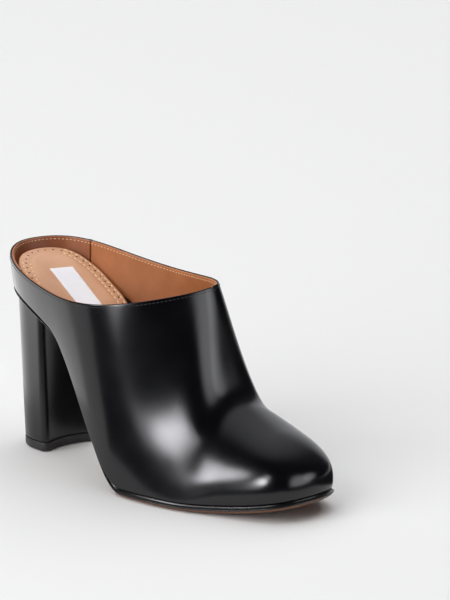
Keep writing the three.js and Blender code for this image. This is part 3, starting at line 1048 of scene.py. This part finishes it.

# The board that the sock lies on closes the slit beside it; its near-black colour is painted shade
# for that slit.
BOARD_CLEAR = WALL + 0.1  # how far it lies in from the last's outline
BOARD_UNDER, BOARD_OVER = 0.05, 0.5  # heights of its two faces above the sole line
board_rows = [
    (lambda x: BOARD_CLEAR, lambda x, inward, lift=lift: foot_height(x, inward) + lift)
    for lift in (BOARD_UNDER, BOARD_OVER)
]
board = sheet_mesh("last_board", np.linspace(0, 1, 160), section(board_rows), [board_in_painted_shade])
carry(board, "sock")

for row, inset in (("outer", OUTER_SEAM), ("inner", INNER_SEAM)):
    for side, (points, up) in zip(("outer", "inner"), sock_rows(inset, ROWS_START, ROWS_END)):
        stitches = sewn_row(f"sock_{row}_row_{side}_side", points, up, cream_thread, 3.2, 2.7, 0.8)
        carry(stitches, "sock")

LABEL_BACK, LABEL_FRONT = np.array([24.5, 1.8]), np.array([60.0, -5.6])  # x, y of its two ends
LABEL_WIDTH = 14.8
LABEL_SUNK = 0.3  # how deep its back lies in the padding
LABEL_RISE = 0.25  # how high its face stands above the padding


def label_mesh():
    """The blank patch that lies on the sock, following its top."""
    length = np.linalg.norm(LABEL_FRONT - LABEL_BACK)
    ahead = unit(LABEL_FRONT - LABEL_BACK)
    across = np.array([-ahead[1], ahead[0]])
    u, v = np.meshgrid(np.linspace(0, 1, 60), np.linspace(-0.5, 0.5, 24), indexing="ij")
    flat = (LABEL_BACK + u[..., None] * (LABEL_FRONT - LABEL_BACK)
            + v[..., None] * LABEL_WIDTH * across)
    x, y = flat[..., 0], flat[..., 1]
    height = sock_top(x, 0.5) + SOCK_PAD
    edge = np.minimum.reduce([u * length, (1 - u) * length, (0.5 - np.abs(v)) * LABEL_WIDTH])
    rise = mix(0.05, LABEL_RISE, ease(edge, 0, 0.35))
    face, back = stack(x, y, height + rise), stack(x, y, height - LABEL_SUNK)
    return block_mesh("label", np.concatenate([face, back[:, ::-1]], 1), label_cloth)


carry(label_mesh(), "label")

profile, marks = sole_profile()
sole_materials = [edge_ink, sole_leather]
carry(sheet_mesh("sole", sheet_stations(60, 120, 1.3), profile, sole_materials, marks),
      "sole", "outsole")
carry(heel_mesh("covered_heel", heel_calf), "heel_cover", "heel")
carry(top_piece_mesh("heel_top_piece", heel_rubber), "rubber", "top_piece")

# ------------------------ studio
# Lengths are in metres from here on.
SHOE_MIDDLE = Vector((0.0, 0.0, 0.055))
FLOOR_HEIGHT = -0.0003  # just clear of the sole
CARD_HEIGHT = 0.004


def studio_sheet(name, corners, height, colour, roughness, only_in_polish):
    """A level sheet that is not part of the shoe, and may be hidden from all but reflections."""
    mesh = bpy.data.meshes.new(name)
    mesh.from_pydata([(*corner, height) for corner in corners], [], [range(len(corners))])
    material, _, shader = shader_nodes(name, colour, roughness)
    mesh.materials.append(material)
    sheet = bpy.data.objects.new(name, mesh)
    bpy.context.collection.objects.link(sheet)
    if only_in_polish:
        sheet.visible_camera = sheet.visible_diffuse = sheet.visible_shadow = False
    return shader


studio_sheet("floor", [(-30, -30), (30, -30), (30, 30), (-30, 30)], FLOOR_HEIGHT,
             (0.86, 0.86, 0.86), 0.9, only_in_polish=False)

# A dark card on the near side, cut out round the shoe, keeps the pale floor out of the polish.
studio_sheet("dark card", [
    (-0.05, -0.1), (-2.5, -5.0), (6.0, -5.0), (6.0, 4.0), (0.3, 0.4), (-0.06, 0.06),
    (-0.06, -0.02), (0.0, -0.01), (0.04, 0.05), (0.17, 0.05), (0.17, -0.08), (0.0, -0.1),
], CARD_HEIGHT, (0.01, 0.01, 0.01), 1.0, only_in_polish=True)

# A bright card behind the heel lights the polish of the collar's and the heel's outer side.
bright = studio_sheet("bright card", [
    (-0.2, 0.08), (-0.12, -0.1), (-2.6, -2.6), (-4.0, 1.0),
], CARD_HEIGHT, (0.8, 0.8, 0.8), 1.0, only_in_polish=True)
bright.inputs["Emission Color"].default_value = (1, 1, 1, 1)
bright.inputs["Emission Strength"].default_value = 1.1


def toward(azimuth, elevation):
    """The direction at an azimuth, turning from +X to +Y, and an elevation, in degrees."""
    a, e = math.radians(azimuth), math.radians(elevation)
    return Vector((math.cos(a) * math.cos(e), math.sin(a) * math.cos(e), math.sin(e)))


def aimed(obj, location, direction):
    """Puts a lamp or a camera at a place, looking back along a direction."""
    obj.location = location
    obj.rotation_mode = "QUATERNION"
    obj.rotation_quaternion = direction.to_track_quat("Z", "Y")
    bpy.context.collection.objects.link(obj)


def softbox(name, direction, distance, size, glow):
    """A large square light that leaves no shape of its own on the polish."""
    light = bpy.data.lights.new(name, "AREA")
    light.shape, light.size = "SQUARE", size
    light.energy = glow * math.pi * size**2
    lamp = bpy.data.objects.new(name, light)
    lamp.visible_camera = lamp.visible_glossy = False
    aimed(lamp, SHOE_MIDDLE + direction * distance, direction)


softbox("overhead softbox", toward(135, 74), distance=3.5, size=6.0, glow=1.65)
softbox("side fill softbox", toward(-95, 24), distance=3.0, size=3.0, glow=2.9)

# The room that the polish shows: azimuth and elevation of each glow; the angles from its
# middle at which it begins to fade and has faded; its strength.
ROOM_GLOWS = {
    "side lamp near the toe": (-88, 17, 1, 9.5, 23),
    "its lower end": (-91, 8, 1, 9, 3.5),
    "its upper end": (-82, 27, 1, 8, 5),
    "side lamp near the heel": (-113, 22, 1, 8.5, 25),
    "window ahead of the toe": (6, 10, 5, 30, 2.9),
    "brighter end of the window": (31, 17, 3, 15, 2.6),
    "low wall behind": (115, 16, 8, 28, 0.9),
    "high wall behind": (157, 57, 5, 48, 0.65),
    "far wall": (140, 40, 15, 75, 0.12),
}
ROOM_DARK = 0.03  # strength of the rest of the room
ROOM_SEEN = 0.87  # strength of the backdrop behind the shoe
ROOM_TINT = (0.95, 0.955, 1.0, 1)


def room_glow(tree, looking, title, azimuth, elevation, full, faded, strength):
    """A soft round glow on the wall of the room."""
    facing = node(tree, "ShaderNodeVectorMath", {"operation": "DOT_PRODUCT", "label": title})
    feed(tree, facing.inputs[0], looking)
    feed(tree, facing.inputs[1], toward(azimuth, elevation))
    return node(tree, "ShaderNodeMapRange", {"interpolation_type": "SMOOTHSTEP"},
                Value=facing.outputs["Value"], From_Min=math.cos(math.radians(faded)),
                From_Max=math.cos(math.radians(full)), To_Max=strength)


world = bpy.data.worlds.new("studio")
bpy.context.scene.world = world
world.use_nodes = True
world.cycles_visibility.diffuse = False  # the softboxes light everything but the polish
sky = world.node_tree
looking = node(sky, "ShaderNodeTexCoord").outputs["Generated"]
room = ROOM_DARK
for title, shape in ROOM_GLOWS.items():
    room = added(sky, room_glow(sky, looking, title, *shape), room)
seen = node(sky, "ShaderNodeLightPath").outputs["Is Camera Ray"]
background = sky.nodes["Background"].inputs
feed(sky, background["Strength"],
     node(sky, "ShaderNodeMapRange", Value=seen, To_Min=room, To_Max=ROOM_SEEN))
feed(sky, background["Color"], ROOM_TINT)

# ------------------------ camera
CAMERA_AZIMUTH = 43.8  # from the outer side round to the toe
CAMERA_ELEVATION = 17.2
CAMERA_DISTANCE = 5.0
FRAME_HEIGHT = 0.32086  # what the frame spans at the shoe
SENSOR = 36  # millimetres
AIM_FROM = Vector((0.005446, 0.001366, 0.06))  # a point in the middle of the shoe
AIM_ASIDE, AIM_ABOVE = 0.0279, 0.0388  # from there to the middle of the frame

camera_direction = toward(CAMERA_AZIMUTH - 90, CAMERA_ELEVATION)
aside = toward(CAMERA_AZIMUTH, 0)
above = camera_direction.cross(aside)
aim = AIM_FROM + aside * AIM_ASIDE + above * AIM_ABOVE
camera_data = bpy.data.cameras.new("camera")
camera_data.sensor_width = SENSOR
camera_data.lens = SENSOR * CAMERA_DISTANCE / FRAME_HEIGHT
camera_data.clip_start, camera_data.clip_end = 0.1, 100
camera = bpy.data.objects.new("camera", camera_data)
aimed(camera, aim + camera_direction * CAMERA_DISTANCE, camera_direction)
bpy.context.scene.camera = camera
bpy.context.scene.view_settings.view_transform = "Standard"
